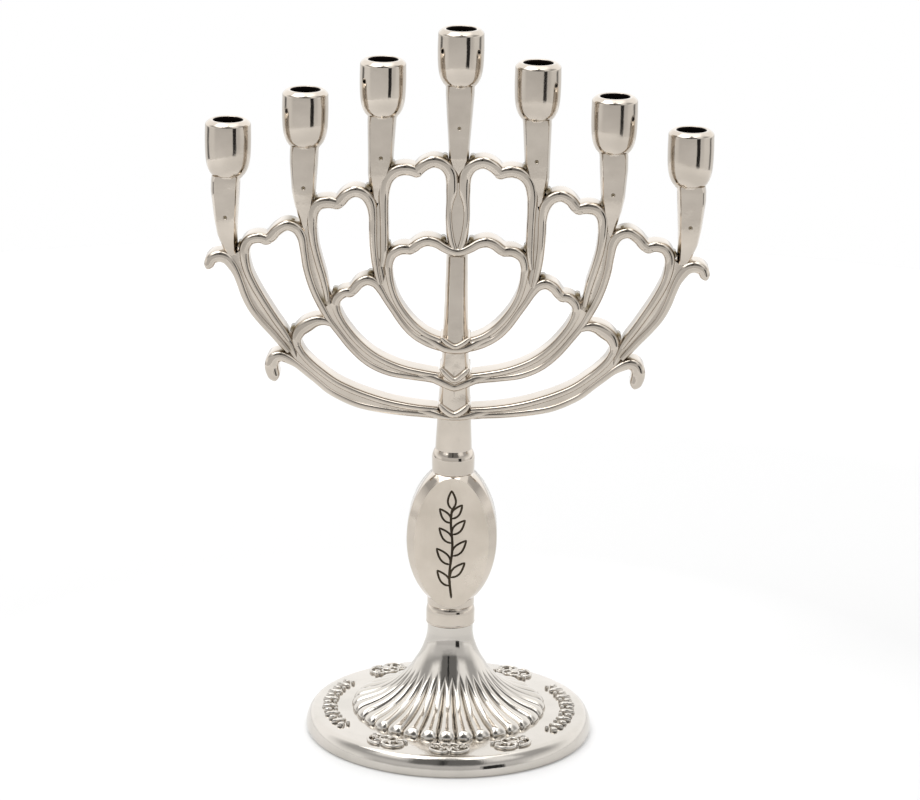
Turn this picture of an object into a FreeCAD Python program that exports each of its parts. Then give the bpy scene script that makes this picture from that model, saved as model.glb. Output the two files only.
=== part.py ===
"""Seven-branch table menorah in plated die-cast metal, modelled in millimetres.

+Z is up, +X is to the viewer's right and the front faces -Y.  The origin is the centre of the
foot, on the surface that the menorah stands on.  Every piece is bored on the Z axis and is drawn
together by one threaded rod, with a washer and a nut in the hollow of the foot.
"""

import FreeCAD, Part

import math
import os
import re

import Sketcher

App = FreeCAD
Vec = App.Vector
UP = Vec(0, 0, 1)

# ---------------------------------------------------------------- driving dimensions, millimetres
DIMS = {
    # overall
    "overall_height": 239.5,
    "cup_pitch": 25.0,  # sideways, from one candle cup to the next
    "cup_step": 10.5,  # how much lower each cup stands than its inner neighbour
    # candle cups
    "cup_radius": 7.55,
    "cup_length": 19.0,
    "cup_bowl_height": 6.5,  # the rounded part below the straight wall
    "cup_bowl_radius": 9.3,
    "cup_foot_radius": 4.9,
    "cup_rim_round": 1.3,
    "bore_radius": 4.8,
    "bore_depth": 14.0,
    "bore_lip": 0.4,
    # pegs that carry the cups
    "peg_radius": 2.4,
    "peg_height": 3.4,
    "peg_play": 0.02,
    "peg_clearance": 0.4,  # between the end of a peg and the floor of its socket
    # branch frame
    "frame_depth": 9.0,
    "frame_round": 1.1,
    "shaft_top_radius": 4.2,
    "shaft_foot_radius": 5.3,
    "shank_top_radius": 5.75,
    "shank_foot_radius": 6.1,
    "shank_foot_height": 98.6,
    "shank_top_height": 112.0,
    "shaft_top_height": 168.0,
    # stack of the stem
    "upper_collar_foot": 90.6,
    "upper_collar_shoulder": 96.0,
    "collar_radius": 7.3,
    "medallion_foot": 44.3,
    "medallion_middle": 68.5,
    "medallion_half_width": 15.0,
    "medallion_half_height": 24.0,
    "medallion_depth": 14.0,
    "medallion_bevel": 2.4,  # how far back the sloping border reaches
    "medallion_face_middle": 67.45,
    "medallion_face_half_width": 12.4,
    "medallion_face_half_height": 22.5,
    "medallion_neck_radius": 7.9,
    "medallion_neck_height": 5.7,
    "medallion_neck_inset": 0.1,  # how far the neck stays behind the faces
    "lower_collar_foot": 37.8,
    "lower_collar_shoulder": 41.9,
    "lower_collar_radius": 8.2,
    "lower_collar_top_radius": 7.5,
    "register_radius": 4.5,  # short spigots that centre one piece in the next
    "register_height": 1.5,
    "register_play": 0.05,
    # foot
    "foot_radius": 48.25,
    "foot_edge_radius": 46.2,
    "foot_edge_height": 6.9,
    "foot_rim_land": 1.2,
    "foot_rim_round": 6.0,
    "dome_radius": 33.2,
    "dome_lip_height": 7.4,
    "dome_shoulder_radius": 30.6,
    "dome_shoulder_height": 11.2,
    "dome_shoulder_round": 3.4,
    "cove_radius": 27.0,
    "neck_radius": 7.65,
    "neck_foot_height": 35.0,
    "foot_wall": 2.0,
    "cavity_top_height": 24.4,
    "cavity_foot_height": 9.0,
    "boss_radius": 6.0,
    "boss_foot_height": 14.0,
    # tie rod and its fasteners
    "rod_radius": 2.5,
    "rod_play": 0.25,
    "rod_foot_height": 7.5,
    "rod_top_height": 110.0,
    "rod_end_clearance": 1.0,  # above the rod, in the threaded hole
    "washer_radius": 5.5,
    "washer_thickness": 1.0,
    "nut_across_flats": 8.0,
    "nut_thickness": 4.0,
    # how far fused and cutting solids reach into or past each other
    "overlap": 1.0,
}

doc = App.newDocument("menorah")
sheet = doc.addObject("Spreadsheet::Sheet", "dims")
for row, (alias, value) in enumerate(DIMS.items(), start=1):
    sheet.set(f"A{row}", alias)
    sheet.set(f"B{row}", str(value))
    sheet.setAlias(f"B{row}", alias)
doc.recompute()


def sheet_formula(text):
    """The formula with each dimension's name pointed at the sheet."""
    return re.sub(r"[a-z]\w*", lambda m: f"dims.{m[0]}" if m[0] in DIMS else m[0], text)


def number(formula):
    """The value of a formula now, read through a scratch cell of the sheet."""
    sheet.set("D1", f"={formula}")
    sheet.recompute()
    return float(sheet.get("D1"))


def bind(thing, **formulas):
    """Binds properties to formulas of the sheet; x, y and z are the placement's."""
    for name, formula in formulas.items():
        path = f"Placement.Base.{name}" if name in ("x", "y", "z") else name
        thing.setExpression(path, sheet_formula(str(formula)))
    return thing


# ---------------------------------------------------------------- building blocks
def cylinder(name, radius, height, z, x="0"):
    return bind(doc.addObject("Part::Cylinder", name), Radius=radius, Height=height, z=z, x=x)


def cone(name, foot_radius, top_radius, height, z, x="0"):
    thing = doc.addObject("Part::Cone", name)
    return bind(thing, Radius1=foot_radius, Radius2=top_radius, Height=height, z=z, x=x)


def fuse(name, shapes):
    thing = doc.addObject("Part::MultiFuse", name)
    thing.Shapes = shapes
    return thing


def cut(name, base, tool):
    thing = doc.addObject("Part::Cut", name)
    thing.Base, thing.Tool = base, tool
    return thing


def common(name, base, tool):
    thing = doc.addObject("Part::Common", name)
    thing.Base, thing.Tool = base, tool
    return thing


def origin_plane(body, role):
    return next(f for f in body.Origin.OriginFeatures if f.Role == role)


def add_arc(sketch, start, end, radius):
    """An arc from start to end; a positive radius bends to the left of the way there."""
    chord = end - start
    across = Vec(-chord.y, chord.x, 0).normalize()
    reach = math.sqrt(max(radius * radius - chord.Length**2 / 4, 0.0))
    left = radius > 0
    centre = (start + end) / 2 + across * (-reach if not left else reach)
    first, last = (start, end) if left else (end, start)
    a, b = (math.atan2(p.y - centre.y, p.x - centre.x) for p in (first, last))
    circle = Part.Circle(centre, UP, abs(radius))
    index = sketch.addGeometry(Part.ArcOfCircle(circle, a, b if b > a else b + 2 * math.pi))
    return index, (1, 2) if left else (2, 1)


def revolved(name, profile):
    """A body turned about Z from a closed profile.

    Each corner is (radius, height) in formulas of the sheet, and a third entry makes the side
    that leaves it an arc of that radius, to the left if positive and to the right if negative.
    """
    body = doc.addObject("PartDesign::Body", name)
    sketch = body.newObject("Sketcher::SketchObject", name + "_profile")
    sketch.AttachmentSupport = [(origin_plane(body, "XZ_Plane"), "")]
    sketch.MapMode = "FlatFace"
    corners = [Vec(number(c[0]), number(c[1]), 0) for c in profile]
    sides = []
    for i, corner in enumerate(profile):
        start, end = corners[i], corners[(i + 1) % len(corners)]
        if len(corner) == 3:
            sign = -1 if corner[2].startswith("-") else 1
            index, ends = add_arc(sketch, start, end, sign * number(corner[2].lstrip("-")))
            sides.append((index, *ends, corner[2].lstrip("-")))
        else:
            sides.append((sketch.addGeometry(Part.LineSegment(start, end)), 1, 2, None))
    for i, (index, first, last, radius) in enumerate(sides):
        after = sides[(i + 1) % len(sides)]
        sketch.addConstraint(Sketcher.Constraint("Coincident", index, last, after[0], after[1]))
        for kind, formula, value in (
            ("DistanceX", profile[i][0], corners[i].x),
            ("DistanceY", profile[i][1], corners[i].y),
        ):
            made = sketch.addConstraint(
                Sketcher.Constraint(kind, -1, 1, index, first, value)
            )
            sketch.setExpression(f"Constraints[{made}]", sheet_formula(formula))
        if radius:
            made = sketch.addConstraint(Sketcher.Constraint("Radius", index, number(radius)))
            sketch.setExpression(f"Constraints[{made}]", sheet_formula(radius))
    turn = body.newObject("PartDesign::Revolution", name + "_turned")
    turn.Profile = sketch
    turn.ReferenceAxis = (sketch, ["V_Axis"])
    turn.Angle = 360
    body.Tip = turn
    return body


# ---------------------------------------------------------------- the stem, from the foot up
def foot():
    """Hollow pressed foot: a broad flange, a coved dome and a neck with a register spigot."""
    return revolved(
        "foot_shell",
        [
            ("rod_radius + rod_play", "boss_foot_height"),
            ("boss_radius", "boss_foot_height"),
            ("boss_radius", "cavity_top_height"),
            ("boss_radius + foot_wall", "cavity_top_height", "cove_radius + foot_wall"),
            ("dome_shoulder_radius - foot_wall", "cavity_foot_height"),
            ("dome_shoulder_radius - foot_wall", "foot_edge_height - foot_wall"),
            ("foot_edge_radius - foot_wall", "foot_edge_height - foot_wall"),
            ("foot_radius - foot_wall", "foot_rim_land"),
            ("foot_radius - foot_wall", "0"),
            ("foot_radius", "0"),
            ("foot_radius", "foot_rim_land", "foot_rim_round"),
            ("foot_edge_radius", "foot_edge_height"),
            ("dome_radius", "dome_lip_height", "dome_shoulder_round"),
            ("dome_shoulder_radius", "dome_shoulder_height", "-cove_radius"),
            ("neck_radius", "neck_foot_height"),
            ("neck_radius", "lower_collar_foot"),
            ("register_radius", "lower_collar_foot"),
            ("register_radius", "lower_collar_foot + register_height"),
            ("rod_radius + rod_play", "lower_collar_foot + register_height"),
        ],
    )


def collar(name, foot_height, shoulder, top_height, radius, top_radius):
    """A turned ring with a sloping shoulder and a counterbore in each end."""
    recess = "register_radius + register_play"
    depth = "register_height + register_play"
    return revolved(
        name,
        [
            (recess, foot_height),
            (radius, foot_height),
            (radius, shoulder),
            (top_radius, top_height),
            (recess, top_height),
            (recess, f"{top_height} - {depth}"),
            ("rod_radius + rod_play", f"{top_height} - {depth}"),
            ("rod_radius + rod_play", f"{foot_height} + {depth}"),
            (recess, f"{foot_height} + {depth}"),
        ],
    )


def oval_ring(name, y, border):
    """An upright ellipse at depth y: the border of a flat face, or the widest outline."""
    stem = "medallion_face" if border else "medallion"
    ring = doc.addObject("Part::Ellipse", name)
    ring.Placement = App.Placement(
        Vec(0, 0, 0), App.Rotation(UP, Vec(1, 0, 0), Vec(0, 1, 0), "ZXY")
    )
    return bind(
        ring,
        MajorRadius=f"{stem}_half_height",
        MinorRadius=f"{stem}_half_width",
        y=y,
        z=f"{stem}_middle",
    )


def medallion():
    """Upright oval knop with bevelled faces, a short neck and a register spigot at each end."""
    face = "medallion_depth / 2"
    oval = doc.addObject("Part::Loft", "medallion_oval")
    oval.Sections = [
        oval_ring("medallion_front_border", f"-{face}", True),
        oval_ring("medallion_front_outline", f"-{face} + medallion_bevel", False),
        oval_ring("medallion_back_outline", f"{face} - medallion_bevel", False),
        oval_ring("medallion_back_border", face, True),
    ]
    oval.Solid = True
    oval.Ruled = True

    height = "upper_collar_foot - medallion_foot"
    band = cylinder("medallion_band", "medallion_half_width + overlap", height, "medallion_foot")
    trimmed = common("medallion_trimmed", oval, band)
    round_neck = cylinder(
        "medallion_round_neck",
        "medallion_neck_radius",
        "medallion_neck_height",
        "medallion_foot",
    )
    slab = bind(
        doc.addObject("Part::Box", "medallion_slab"),
        Length="2 * medallion_neck_radius",
        Width="medallion_depth - 2 * medallion_neck_inset",
        Height="medallion_neck_height",
        x="-medallion_neck_radius",
        y="medallion_neck_inset - medallion_depth / 2",
        z="medallion_foot",
    )
    neck = common("medallion_neck", round_neck, slab)
    register = cylinder(
        "medallion_register",
        "register_radius",
        f"{height} + 2 * register_height",
        "medallion_foot - register_height",
    )
    bore = cylinder(
        "medallion_bore",
        "rod_radius + rod_play",
        f"{height} + 4 * register_height",
        "medallion_foot - 2 * register_height",
    )
    return cut("medallion_part", fuse("medallion_solid", [trimmed, neck, register]), bore)


# ---------------------------------------------------------------- the branch frame
# Openings of the left half, each once round: (x, z), with x measured from the centre line.
UPPER_INNER = [
    (-3.8, 187), (-4.2, 191.2), (-5.6, 193.3), (-7.8, 194.2), (-9.9, 193.6), (-11.6, 192.0),
    (-13.2, 190.9), (-15.0, 190.9), (-17.3, 191.5), (-19.8, 191.0), (-21.4, 189.2), (-22.2, 185),
    (-22.4, 178), (-22.3, 171.8), (-20.3, 169.6), (-17.0, 169.8), (-14.8, 170.0),
    (-12.6, 171.4), (-9.8, 172.0), (-7.0, 171.0), (-4.8, 171.0), (-4.1, 174), (-3.9, 180),
]  # fmt: skip
UPPER_MIDDLE = [
    (-28.9, 172), (-29.1, 177), (-29.7, 180.3), (-31.2, 182.8), (-33.4, 183.7), (-35.4, 182.9),
    (-36.8, 180.9), (-38.2, 179.4), (-39.8, 179.1), (-41.8, 179.4), (-44.0, 179.0),
    (-45.2, 177.4), (-45.6, 173), (-45.0, 168), (-43.6, 162), (-42.1, 157), (-40.8, 154.0),
    (-38.6, 153.4), (-36.0, 153.9), (-34.2, 155.8), (-32.4, 158.2), (-30.0, 159.0),
    (-28.3, 160.4), (-28.4, 165),
]  # fmt: skip
UPPER_OUTER = [
    (-50.6, 160), (-51.3, 165), (-51.9, 168.4), (-53.1, 171.0), (-55.1, 172.1), (-57.0, 171.5),
    (-58.2, 169.8), (-59.4, 167.7), (-61.0, 166.8), (-62.8, 167.2), (-64.8, 167.8),
    (-66.6, 166.9), (-67.6, 164.4), (-67.6, 160.6), (-66.5, 157.2), (-64.3, 152.7),
    (-61.3, 147.4), (-57.8, 141.9), (-54.9, 138.0), (-53.4, 138.6), (-52.0, 140.6),
    (-50.0, 142.8), (-47.6, 144.4), (-46.2, 146.6), (-47.6, 150.4), (-49.3, 155),
]  # fmt: skip
LOWER_INNER = [
    (-4.0, 160), (-3.9, 164.6), (-5.0, 166.4), (-7.0, 167.2), (-9.0, 167.6), (-10.9, 167.0),
    (-12.4, 165.8), (-14.2, 164.9), (-16.4, 164.9), (-18.3, 164.3), (-19.6, 162.4),
    (-20.1, 159), (-19.9, 155.3), (-18.7, 150.9), (-16.2, 146.4), (-12.0, 141.7), (-7.2, 138.2),
    (-5.2, 137.8), (-4.6, 141), (-4.2, 150),
]  # fmt: skip
MIDDLE_CRESCENT = [
    (-5.2, 129.5), (-5.4, 132.2), (-7.2, 133.3), (-10.2, 134.4), (-14.2, 136.6), (-17.8, 140.2),
    (-21.8, 145.8), (-24.8, 150.6), (-26.8, 153.1), (-28.7, 153.9), (-30.5, 153.2),
    (-31.9, 151.4), (-33.6, 150.1), (-35.6, 149.8), (-37.2, 148.6), (-37.7, 146.2),
    (-36.4, 143.4), (-33.6, 139.6), (-29.6, 135.2), (-24.6, 131.4), (-19.6, 128.9),
    (-14.6, 127.0), (-9.8, 126.2), (-6.4, 126.6),
]  # fmt: skip
LOWER_CRESCENT = [
    (-5.5, 117.5), (-5.7, 120.6), (-7.6, 121.8), (-14.6, 122.5), (-21.6, 123.6), (-27.6, 126.0),
    (-31.6, 128.8), (-35.6, 132.8), (-39.1, 137.2), (-41.6, 139.8), (-43.5, 140.4),
    (-45.0, 139.4), (-46.0, 137.4), (-47.6, 136.0), (-49.0, 134.4), (-49.0, 132.0),
    (-46.6, 128.6), (-42.6, 124.9), (-36.6, 120.8), (-29.6, 117.6), (-21.6, 115.3),
    (-13.6, 114.1), (-7.6, 114.3),
]  # fmt: skip
OPENINGS = [
    UPPER_INNER, UPPER_MIDDLE, UPPER_OUTER, LOWER_INNER, MIDDLE_CRESCENT, LOWER_CRESCENT,
]  # fmt: skip

# Outer edge of the left half, as smooth stretches that meet at corners.
OUTER_EDGE = [
    [  # arch beside the middle cup
        (-1.5, 196.0), (-4.4, 197.7), (-7.6, 198.2), (-10.6, 197.2), (-12.6, 195.2), (-13.9, 194.6),
        (-15.8, 195.0), (-18.2, 195.3), (-21.0, 194.2), (-23.6, 191.6),
    ],
    [(-23.6, 191.6), (-27.4, 184.6)],
    [  # arch between the inner and middle cups
        (-27.4, 184.6), (-29.2, 186.2), (-31.4, 187.3), (-33.6, 187.6), (-36.0, 186.8),
        (-38.0, 184.8), (-39.6, 183.9), (-42.0, 184.1), (-45.0, 183.8), (-47.6, 182.2),
        (-49.2, 179.6),
    ],
    [(-49.2, 179.6), (-51.0, 173.4)],
    [  # arch between the middle and outer cups
        (-51.0, 173.4), (-53.4, 174.7), (-56.0, 174.9), (-58.8, 173.8), (-61.0, 171.9),
        (-62.6, 171.0), (-64.6, 171.3), (-67.0, 171.0), (-69.2, 169.8), (-71.2, 167.4),
    ],
    [(-71.2, 167.4), (-75.4, 164.9)],
    [  # upper curl
        (-75.4, 164.9), (-78.0, 164.9), (-80.4, 164.0), (-82.0, 162.4), (-82.3, 160.8),
        (-81.4, 159.4), (-80.2, 159.2), (-78.4, 160.2), (-76.4, 160.6), (-74.6, 159.6),
        (-73.0, 157.2), (-71.4, 153.0), (-68.9, 147.4), (-65.8, 141.8), (-62.6, 137.4),
        (-58.2, 132.2),
    ],
    [  # lower curl and the long underside
        (-58.2, 132.2), (-59.8, 131.2), (-61.4, 129.6), (-62.3, 127.0), (-62.2, 123.8),
        (-61.2, 121.7), (-59.4, 121.2), (-57.9, 122.3), (-57.4, 124.6), (-56.2, 126.6),
        (-54.0, 127.3), (-51.2, 126.0), (-47.8, 123.4), (-43.8, 120.0), (-39.6, 116.9),
        (-34.8, 114.0), (-29.6, 112.2), (-24.6, 111.2), (-17.6, 110.3), (-11.6, 109.8),
        (0.0, 109.6),
    ],
]  # fmt: skip


def mirrored(points):
    """The same run on the right half, walked the other way."""
    return [(-x, z) for x, z in reversed(points)]


def spline(points, closed=False):
    curve = Part.BSplineCurve()
    curve.interpolate([Vec(x, z, 0) for x, z in points], PeriodicFlag=closed)
    return curve


def lattice():
    """The pierced plate: one sketch of smooth outlines, padded about the middle plane."""
    body = doc.addObject("PartDesign::Body", "lattice_plate")
    sketch = body.newObject("Sketcher::SketchObject", "lattice_outline")
    sketch.AttachmentSupport = [(origin_plane(body, "XZ_Plane"), "")]
    sketch.MapMode = "FlatFace"
    left = [[(0.0, 194.0), OUTER_EDGE[0][0]], *OUTER_EDGE]
    right = [mirrored(run) for run in reversed(left)]
    for run in left + right:
        if len(run) == 2:
            (x0, z0), (x1, z1) = run
            sketch.addGeometry(Part.LineSegment(Vec(x0, z0, 0), Vec(x1, z1, 0)))
        else:
            sketch.addGeometry(spline(run))
    for opening in OPENINGS:
        sketch.addGeometry(spline(opening, closed=True))
        sketch.addGeometry(spline([(-x, z) for x, z in opening], closed=True))
    pad = body.newObject("PartDesign::Pad", "lattice_pad")
    pad.Profile = sketch
    pad.Midplane = True
    bind(pad, Length="frame_depth")
    doc.recompute()
    rounded = body.newObject("PartDesign::Fillet", "lattice_rounding")
    rims = [
        f"Edge{i + 1}"
        for i, edge in enumerate(pad.Shape.Edges)
        if edge.isClosed() and edge.BoundBox.YLength < 0.01
    ]
    rounded.Base = (pad, rims)
    bind(rounded, Radius="frame_round")
    body.Tip = rounded
    return body


# Each stalk between lattice and cup: (x off the cup's axis, depth below the cup's foot, radius).
STALKS = {
    0: [(0.0, 0.0, 4.9), (0.0, 11.0, 4.2), (0.0, 22.0, 3.4), (0.0, 31.0, 2.0)],
    1: [(0.0, 0.0, 4.9), (0.1, 9.0, 4.3), (0.4, 17.0, 3.7), (1.0, 27.0, 2.2)],
    2: [(0.0, 0.0, 4.9), (0.2, 8.0, 4.3), (0.4, 15.0, 3.7), (0.4, 26.0, 2.2)],
    3: [(0.2, 0.0, 5.1), (0.6, 6.0, 4.8), (0.5, 13.0, 4.2), (-0.6, 20.0, 3.3), (-2.4, 27.0, 2.2)],
}


def stalk(place):
    """A tapering stalk lofted through circles; place counts cups from the middle one."""
    side = 1 if place > 0 else -1
    sections = []
    for i, (offset, depth, radius) in enumerate(STALKS[abs(place)]):
        ring = doc.addObject("Part::Circle", f"stalk_{place + 4}_ring_{i + 1}")
        height = "overall_height - cup_length - cup_step * {0} - {1}"
        bind(
            ring,
            Radius=f"cup_foot_radius * {radius / DIMS['cup_foot_radius']:.4f}",
            x=f"cup_pitch * {place} + {side * offset}",
            z=height.format(abs(place), depth),
        )
        sections.append(ring)
    loft = doc.addObject("Part::Loft", f"stalk_{place + 4}")
    loft.Sections = sections
    loft.Solid = True
    return loft


def peg(place):
    """The short peg on top of a stalk that a cup is pressed on."""
    height = f"overall_height - cup_length - cup_step * {abs(place)}"
    return cylinder(
        f"peg_{place + 4}",
        "peg_radius",
        "peg_height + overlap",
        f"{height} - overlap",
        f"cup_pitch * {place}",
    )


def branch_frame():
    """The one-piece casting: lattice, stalks with pegs, central shaft and threaded shank."""
    shaft = cone(
        "central_shaft",
        "shaft_foot_radius",
        "shaft_top_radius",
        "shaft_top_height - shank_top_height",
        "shank_top_height",
    )
    shank = cone(
        "shank",
        "shank_foot_radius",
        "shank_top_radius",
        "shank_top_height - shank_foot_height",
        "shank_foot_height",
    )
    register = cylinder(
        "shank_register",
        "register_radius",
        "register_height + overlap",
        "shank_foot_height - register_height",
    )
    places = range(-3, 4)
    solid = fuse(
        "frame_solid",
        [lattice(), shaft, shank, register, *map(stalk, places), *map(peg, places)],
    )
    thread = cylinder(
        "shank_thread",
        "rod_radius",
        "rod_top_height + rod_end_clearance - shank_foot_height + 2 * register_height",
        "shank_foot_height - 2 * register_height",
    )
    return cut("frame_part", solid, thread)


# ---------------------------------------------------------------- candle cups
def candle_cup(place):
    """A turned cup with a candle bore in its mouth and a peg socket in its foot."""
    top = f"overall_height - cup_step * {abs(place)}"
    foot_height = f"{top} - cup_length"
    socket = "peg_radius + peg_play"
    body = revolved(
        f"cup_{place + 4}",
        [
            ("0", f"{foot_height} + peg_height + peg_clearance"),
            (socket, f"{foot_height} + peg_height + peg_clearance"),
            (socket, foot_height),
            ("cup_foot_radius", foot_height, "cup_bowl_radius"),
            ("cup_radius", f"{foot_height} + cup_bowl_height"),
            ("cup_radius", f"{top} - cup_rim_round", "cup_rim_round"),
            ("cup_radius - cup_rim_round", top),
            ("bore_radius + bore_lip", top),
            ("bore_radius", f"{top} - bore_lip"),
            ("bore_radius", f"{top} - bore_depth"),
            ("0", f"{top} - bore_depth"),
        ],
    )
    bind(body, x=f"cup_pitch * {place}")
    return body


# ---------------------------------------------------------------- tie rod and fasteners
def nut():
    hexagon = doc.addObject("Part::Prism", "nut_hexagon")
    hexagon.Polygon = 6
    foot_height = "boss_foot_height - washer_thickness - nut_thickness"
    bind(
        hexagon,
        Circumradius="nut_across_flats / sqrt(3)",
        Height="nut_thickness",
        z=foot_height,
    )
    bore = cylinder(
        "nut_bore", "rod_radius", "nut_thickness + 2 * overlap", f"{foot_height} - overlap"
    )
    return cut("nut_part", hexagon, bore)


def washer():
    foot_height = "boss_foot_height - washer_thickness"
    disc = cylinder("washer_disc", "washer_radius", "washer_thickness", foot_height)
    bore = cylinder(
        "washer_bore",
        "rod_radius + rod_play",
        "washer_thickness + 2 * overlap",
        f"{foot_height} - overlap",
    )
    return cut("washer_part", disc, bore)


PARTS = {
    "foot": foot(),
    "lower_collar": collar(
        "lower_ring",
        "lower_collar_foot",
        "lower_collar_shoulder",
        "medallion_foot",
        "lower_collar_radius",
        "lower_collar_top_radius",
    ),
    "medallion": medallion(),
    "upper_collar": collar(
        "upper_ring",
        "upper_collar_foot",
        "upper_collar_shoulder",
        "shank_foot_height",
        "collar_radius",
        "shank_foot_radius",
    ),
    "branch_frame": branch_frame(),
    "tie_rod": cylinder("rod", "rod_radius", "rod_top_height - rod_foot_height", "rod_foot_height"),
    "tie_washer": washer(),
    "tie_nut": nut(),
}
CUP_NAMES = {
    -3: "candle_cup_left_outer",
    -2: "candle_cup_left_middle",
    -1: "candle_cup_left_inner",
    0: "candle_cup_centre",
    1: "candle_cup_right_inner",
    2: "candle_cup_right_middle",
    3: "candle_cup_right_outer",
}
for place, name in CUP_NAMES.items():
    PARTS[name] = candle_cup(place)

doc.recompute()
broken = [
    thing.Name
    for thing in doc.Objects
    if any(word in state for state in thing.State for word in ("Invalid", "Error"))
]
if broken:
    raise RuntimeError(f"these objects did not build: {broken}")

os.makedirs("parts", exist_ok=True)
for name, thing in PARTS.items():
    thing.Label = name
    shape = thing.Shape
    if shape.isNull() or not shape.isValid() or len(shape.Solids) != 1:
        raise RuntimeError(f"{name} is not one valid solid")
    shape.exportStep(f"parts/{name}.step")
    box = shape.BoundBox
    print(
        f"{name:24s} volume {shape.Volume:9.1f}  x {box.XMin:7.2f} {box.XMax:7.2f}"
        f"  y {box.YMin:6.2f} {box.YMax:6.2f}  z {box.ZMin:7.2f} {box.ZMax:7.2f}"
    )
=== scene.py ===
"""Looks of the seven-branch menorah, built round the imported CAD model.

Everything is in metres in the model's own frame: +Z up, +X to the viewer's right, the front
faces -Y, and the origin is the centre of the foot on the surface that it stands on.  Outlines
are written in millimetres and scaled by MM.
"""

import math

import bpy
import numpy as np
from mathutils import Matrix, Vector


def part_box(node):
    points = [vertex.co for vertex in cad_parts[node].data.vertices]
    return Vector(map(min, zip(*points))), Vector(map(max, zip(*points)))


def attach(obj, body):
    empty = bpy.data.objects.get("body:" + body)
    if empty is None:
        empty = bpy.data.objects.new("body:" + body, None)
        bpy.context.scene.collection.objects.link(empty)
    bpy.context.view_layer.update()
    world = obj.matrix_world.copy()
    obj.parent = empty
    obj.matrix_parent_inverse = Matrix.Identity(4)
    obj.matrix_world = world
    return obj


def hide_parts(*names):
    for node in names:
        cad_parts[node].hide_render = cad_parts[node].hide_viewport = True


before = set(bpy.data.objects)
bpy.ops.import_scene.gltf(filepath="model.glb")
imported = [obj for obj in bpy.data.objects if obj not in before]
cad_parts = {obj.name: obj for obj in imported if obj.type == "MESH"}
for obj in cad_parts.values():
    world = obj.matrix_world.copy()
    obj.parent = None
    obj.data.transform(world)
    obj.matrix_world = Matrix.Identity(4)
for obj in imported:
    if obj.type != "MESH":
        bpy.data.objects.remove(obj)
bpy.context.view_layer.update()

MM = 0.001
TAU = 2 * math.pi

# ------------------------------------------------------------------ sizes read from the CAD model
CUPS = {
    "candle_cup_left_outer": -3,
    "candle_cup_left_middle": -2,
    "candle_cup_left_inner": -1,
    "candle_cup_centre": 0,
    "candle_cup_right_inner": 1,
    "candle_cup_right_middle": 2,
    "candle_cup_right_outer": 3,
}
CUP_AT = {place: name for name, place in CUPS.items()}


def cad(node):
    """A node's box in millimetres: (lowest corner, highest corner)."""
    low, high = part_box(node)
    return np.array(low) / MM, np.array(high) / MM


LOWER_FOOT = cad("lower_collar")[0][2]
UPPER_FOOT, UPPER_TOP = (corner[2] for corner in cad("upper_collar"))
ROD_BORE = 2.75  # radius of the way for the tie rod


# ------------------------------------------------------------------ mesh tools
def new_mesh(name, verts, faces):
    """A mesh object from millimetre points, with flat faces."""
    mesh = bpy.data.meshes.new(name)
    mesh.from_pydata([tuple(p) for p in np.asarray(verts, float) * MM], [], faces)
    mesh.validate()
    obj = bpy.data.objects.new(name, mesh)
    bpy.context.scene.collection.objects.link(obj)
    return obj


def smooth(obj, angle=38.0):
    """Smooth shading, apart from edges sharper than the angle in degrees."""
    obj.data.polygons.foreach_set("use_smooth", [True] * len(obj.data.polygons))
    obj.data.set_sharp_from_angle(angle=math.radians(angle))
    return obj


def skin(rings):
    """Vertices and faces of a closed surface through closed rings, all with as many points."""
    count, around = len(rings), len(rings[0])
    verts = [p for ring in rings for p in ring]
    faces = []
    for i in range(count - 1):
        for j in range(around):
            k = (j + 1) % around
            faces.append((i * around + j, i * around + k, (i + 1) * around + k, (i + 1) * around + j))
    for row, flip in ((0, True), (count - 1, False)):
        centre = len(verts)
        verts.append(np.mean(rings[row], axis=0))
        for j in range(around):
            a, b = row * around + j, row * around + (j + 1) % around
            faces.append((b, a, centre) if flip else (a, b, centre))
    return np.array(verts), faces


def revolve(profile, segments=96, x=0.0):
    """A closed profile of (radius, z) points turned about the vertical through x."""
    profile = np.asarray(profile, float)
    verts, faces, rows = [], [], []
    for radius, z in profile:
        if radius < 1e-6:
            rows.append([len(verts)] * segments)
            verts.append((x, 0.0, z))
            continue
        rows.append(list(range(len(verts), len(verts) + segments)))
        for j in range(segments):
            angle = TAU * j / segments
            verts.append((x + radius * math.cos(angle), radius * math.sin(angle), z))
    for i in range(len(profile)):
        low, high = rows[i], rows[(i + 1) % len(profile)]
        for j in range(segments):
            k = (j + 1) % segments
            quad = [low[j], low[k], high[k], high[j]]
            quad = [v for n, v in enumerate(quad) if v != quad[n - 1]]
            if len(quad) > 2:
                faces.append(tuple(quad))
    return np.array(verts), faces


def arc(centre, radius, start, end, count=8):
    """Points on an arc in (radius, z), angles in degrees from the outward horizontal."""
    angles = np.radians(np.linspace(start, end, count))
    return [(centre[0] + radius * math.cos(a), centre[1] + radius * math.sin(a)) for a in angles]


SPAN_STEPS = 24  # how many points a spline works out between two given ones


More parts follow.
